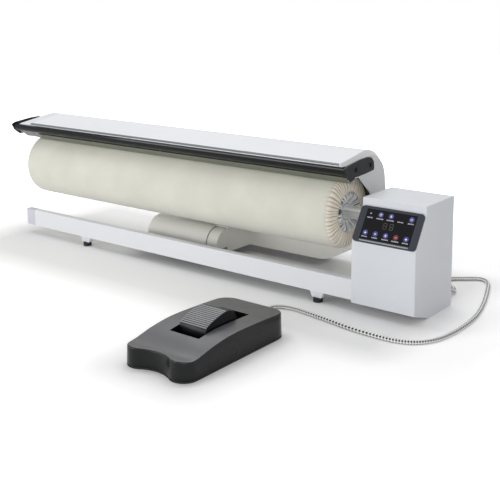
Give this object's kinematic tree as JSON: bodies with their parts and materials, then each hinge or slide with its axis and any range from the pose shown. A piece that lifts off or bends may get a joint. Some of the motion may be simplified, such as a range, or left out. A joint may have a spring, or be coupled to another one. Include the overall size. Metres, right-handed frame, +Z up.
{
  "type": "flatwork ironer",
  "caption": "Tabletop rotary ironer: padded roller under a hinged heated hood, finger guard, touch-panel drive box, rear lift column and corded foot switch.",
  "frame": {"origin": "middle of the footprint of the ironer with its foot switch, on the table, the foot switch's cord and gland left out", "axes": "+X along the roller towards the control box, +Y to the rear, +Z up"},
  "size_m": [1.1453, 0.7122, 0.2713],
  "materials": {
    "white_metal": "satin white powder coat",
    "white_plastic": "satin white moulding",
    "grey_plastic": "light grey moulding",
    "lilac_grey": "lilac grey moulding",
    "slate_plastic": "slate grey moulding",
    "black_glass": "near-black glossy panel",
    "black_metal": "gloss black",
    "charcoal_metal": "charcoal, satin",
    "chrome": "polished",
    "steel": "plain machined steel",
    "frame_steel": "grey painted sheet",
    "shoe_aluminium": "satin coated aluminium",
    "drum_aluminium": "plain tube",
    "cotton": "cream cotton cover",
    "felt": "padding felt",
    "insulation": "beige insulating mat",
    "rubber": "black rubber",
    "circuit": "green boards",
    "bronze": "plain bushes",
    "pedal_plastic": "charcoal, fine grain",
    "braid": "grey and white braided sleeve"
  },
  "bodies": {
    "base": {"front_rail": "white_metal", "rail_end_cap": "lilac_grey", "foot_brackets": "white_metal", "rubber_feet": "rubber", "base_beam": "frame_steel", "cross_frame": "frame_steel", "pedestal_housing": "white_metal", "pedestal_front_cover": "white_plastic", "pedestal_end_cap": "white_plastic", "column_shell": "white_metal", "column_back_cover": "grey_plastic", "hinge_posts": "frame_steel", "hinge_bushes": "bronze", "lift_actuator": "charcoal_metal", "box_shell": "white_plastic", "box_base": "grey_plastic", "box_rear_cover": "grey_plastic", "panel_bezel": "slate_plastic", "panel_glass": "black_glass", "circuit_boards": "circuit", "bearing_frame": "frame_steel", "roller_bearings": "steel", "drive_belt": "rubber", "drive_motor": "charcoal_metal", "mains_inlet": "pedal_plastic", "cord_gland": "rubber", "pedal_cord": "braid", "pedal_base": "pedal_plastic", "pedal_shell": "pedal_plastic", "rocker_axle": "steel", "pedal_switches": "pedal_plastic", "pedal_spring": "steel"},
    "roller": {"roller_shaft": "chrome", "roller_drum": "drum_aluminium", "drum_end_discs": "drum_aluminium", "roller_padding": "felt", "roller_cover": "cotton", "gathered_ends": "cotton", "driven_pulley": "drum_aluminium"},
    "motor_rotor": {"motor_pulley": "steel"},
    "hood": {"hood_arm_left": "frame_steel", "hood_arm_right": "frame_steel", "hood_ribs": "frame_steel", "hood_cover": "white_metal", "hood_front_trim": "grey_plastic", "hood_chrome_strip": "chrome", "hood_front_beam": "frame_steel", "hood_end_cap_left": "white_plastic", "hood_end_plate_right": "grey_plastic", "heated_shoe": "shoe_aluminium", "heating_element": "steel", "shoe_insulation": "insulation", "shoe_thermostat": "steel", "hinge_shaft": "steel", "guard_screws": "steel"},
    "guard": {"guard_bar": "black_metal", "guard_arm_left": "charcoal_metal", "guard_arm_right": "charcoal_metal"},
    "lift": {"lift_rod": "steel"},
    "rocker": {"pedal_rocker": "pedal_plastic"}
  },
  "joints": [
    {"name": "roller_spin", "type": "hinge", "parent": "base", "child": "roller", "pos_m": [-0.05785, 0.15152, 0.158], "axis": [1, 0, 0], "continuous": true},
    {"name": "motor_spin", "type": "hinge", "parent": "base", "child": "motor_rotor", "pos_m": [0.47115, 0.15152, 0.062], "axis": [1, 0, 0], "continuous": true},
    {"name": "hood_lift", "type": "hinge", "parent": "base", "child": "hood", "pos_m": [0.08815, 0.28498, 0.092], "axis": [-1, 0, 0], "range_deg": [0, 12]},
    {"name": "lift_slide", "type": "slide", "parent": "base", "child": "lift", "axis": [0, -1, 0], "range_m": [0, 0.0089]},
    {"name": "guard_tilt", "type": "hinge", "parent": "hood", "child": "guard", "pos_m": [-0.06885, 0.17563, 0.2456], "axis": [-1, 0, 0], "range_deg": [0, 1.2], "stiffness_Nm_per_rad": 8},
    {"name": "pedal_rock", "type": "hinge", "parent": "base", "child": "rocker", "pos_m": [0.32015, -0.19697, 0.026], "axis": [1, 0, 0], "range_deg": [-5, 5], "stiffness_Nm_per_rad": 8}
  ],
  "couplings": [
    {"joint": "motor_spin", "follows": "roller_spin", "ratio": 4},
    {"joint": "lift_slide", "follows": "hood_lift", "m_per_rad": 0.042}
  ]
}
